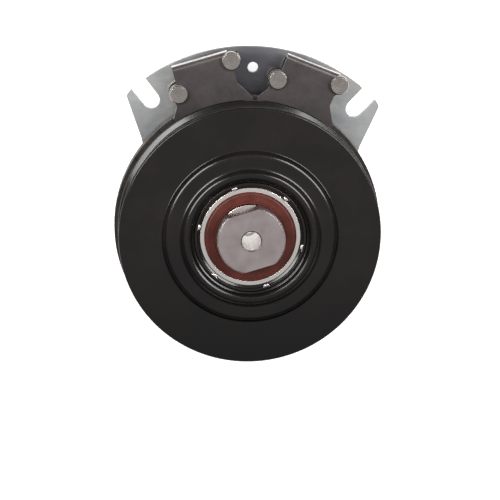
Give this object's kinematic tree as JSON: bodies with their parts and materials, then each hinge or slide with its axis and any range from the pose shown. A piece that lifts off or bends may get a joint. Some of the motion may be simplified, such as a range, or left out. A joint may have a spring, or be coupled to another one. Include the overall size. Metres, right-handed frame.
{
  "type": "electromagnetic clutch",
  "caption": "Electromagnetic clutch with a V-belt pulley on a bearing, a flatted hub nose, permanent-magnet brake plates and a slotted mounting plate.",
  "frame": {"origin": "on the clutch axis, at the rear face of the field shell that the clutch lies on", "axes": "+Z along the clutch axis from the engine side to the hub nose, +Y to the middle of the slotted mounting plate, between its two ears"},
  "size_m": [0.1664, 0.205, 0.0678],
  "materials": {
    "black_coat": "satin to gloss black coating on steel",
    "zinc_plate": "clear zinc plating",
    "brake_steel": "dark oxide with bare sheared edges",
    "bearing_steel": "ground",
    "seal_rubber": "matt, red-brown",
    "hub_steel": "sintered and turned",
    "rotor_steel": "turned, lightly oxidised",
    "rivet_steel": "turned",
    "spring_steel": "cold rolled",
    "ferrite": "matt ceramic",
    "copper_wire": "enamelled wire",
    "bobbin_plastic": "moulded",
    "connector_plastic": "moulded",
    "potting_resin": "cast",
    "lead_insulation": "smooth",
    "contact_brass": "tinned brass"
  },
  "bodies": {
    "field": {"mounting_plate": "zinc_plate", "field_shell": "zinc_plate", "coil_bobbin": "bobbin_plastic", "coil_winding": "copper_wire", "potting_resin": "potting_resin", "coil_lead_1": "lead_insulation", "coil_lead_2": "lead_insulation", "connector_housing": "connector_plastic", "connector_blade_1": "contact_brass", "connector_blade_2": "contact_brass", "field_bearing_outer_race": "bearing_steel", "field_bearing_front_seal": "seal_rubber", "field_bearing_rear_seal": "seal_rubber", "brake_pole_left": "brake_steel", "brake_pole_right": "brake_steel", "brake_backing_left": "brake_steel", "brake_backing_right": "brake_steel", "brake_magnet_left": "ferrite", "brake_magnet_right": "ferrite", "brake_spacer_left_a": "rivet_steel", "brake_spacer_left_b": "rivet_steel", "brake_spacer_right_a": "rivet_steel", "brake_spacer_right_b": "rivet_steel", "brake_rivet_left_a": "rivet_steel", "brake_rivet_left_b": "rivet_steel", "brake_rivet_right_a": "rivet_steel", "brake_rivet_right_b": "rivet_steel"},
    "rotor": {"rotor": "rotor_steel", "rotor_hub": "hub_steel", "hub_nose": "hub_steel", "field_bearing_inner_race": "bearing_steel", "field_bearing_snap_ring": "spring_steel", "pulley_bearing_inner_race": "bearing_steel"},
    "pulley": {"pulley_front_half": "black_coat", "pulley_rear_half": "black_coat", "pulley_hub": "black_coat", "pulley_bearing_outer_race": "bearing_steel", "pulley_bearing_front_seal": "seal_rubber", "pulley_bearing_rear_seal": "seal_rubber", "leaf_spring_1": "spring_steel", "leaf_spring_2": "spring_steel", "leaf_spring_3": "spring_steel", "pulley_spring_rivet_1": "rivet_steel", "pulley_spring_rivet_2": "rivet_steel", "pulley_spring_rivet_3": "rivet_steel"},
    "armature": {"armature": "rotor_steel", "armature_spring_rivet_1": "rivet_steel", "armature_spring_rivet_2": "rivet_steel", "armature_spring_rivet_3": "rivet_steel"},
    "field_bearing_cage": {"field_bearing_ball_cage": "bearing_steel"},
    "pulley_bearing_cage": {"pulley_bearing_ball_cage": "bearing_steel"}
  },
  "joints": [
    {"name": "rotor_spin", "type": "hinge", "parent": "field", "child": "rotor", "pos_m": [0, 0, 0.0102], "axis": [0, 0, 1], "continuous": true},
    {"name": "pulley_spin", "type": "hinge", "parent": "rotor", "child": "pulley", "pos_m": [0, 0, 0.049], "axis": [0, 0, 1], "continuous": true},
    {"name": "armature_travel", "type": "slide", "parent": "pulley", "child": "armature", "axis": [0, 0, 1], "range_m": [-0.00045, 0], "stiffness_N_per_m": 30000, "springref_m": 0.0005, "deforming": ["leaf_spring_1", "leaf_spring_2", "leaf_spring_3"]},
    {"name": "field_cage_spin", "type": "hinge", "parent": "field", "child": "field_bearing_cage", "pos_m": [0, 0, 0.0102], "axis": [0, 0, 1], "continuous": true},
    {"name": "pulley_cage_spin", "type": "hinge", "parent": "rotor", "child": "pulley_bearing_cage", "pos_m": [0, 0, 0.049], "axis": [0, 0, 1], "continuous": true}
  ],
  "couplings": [
    {"joint": "field_cage_spin", "follows": "rotor_spin", "ratio": 0.4216},
    {"joint": "pulley_cage_spin", "follows": "pulley_spin", "ratio": 0.6}
  ]
}
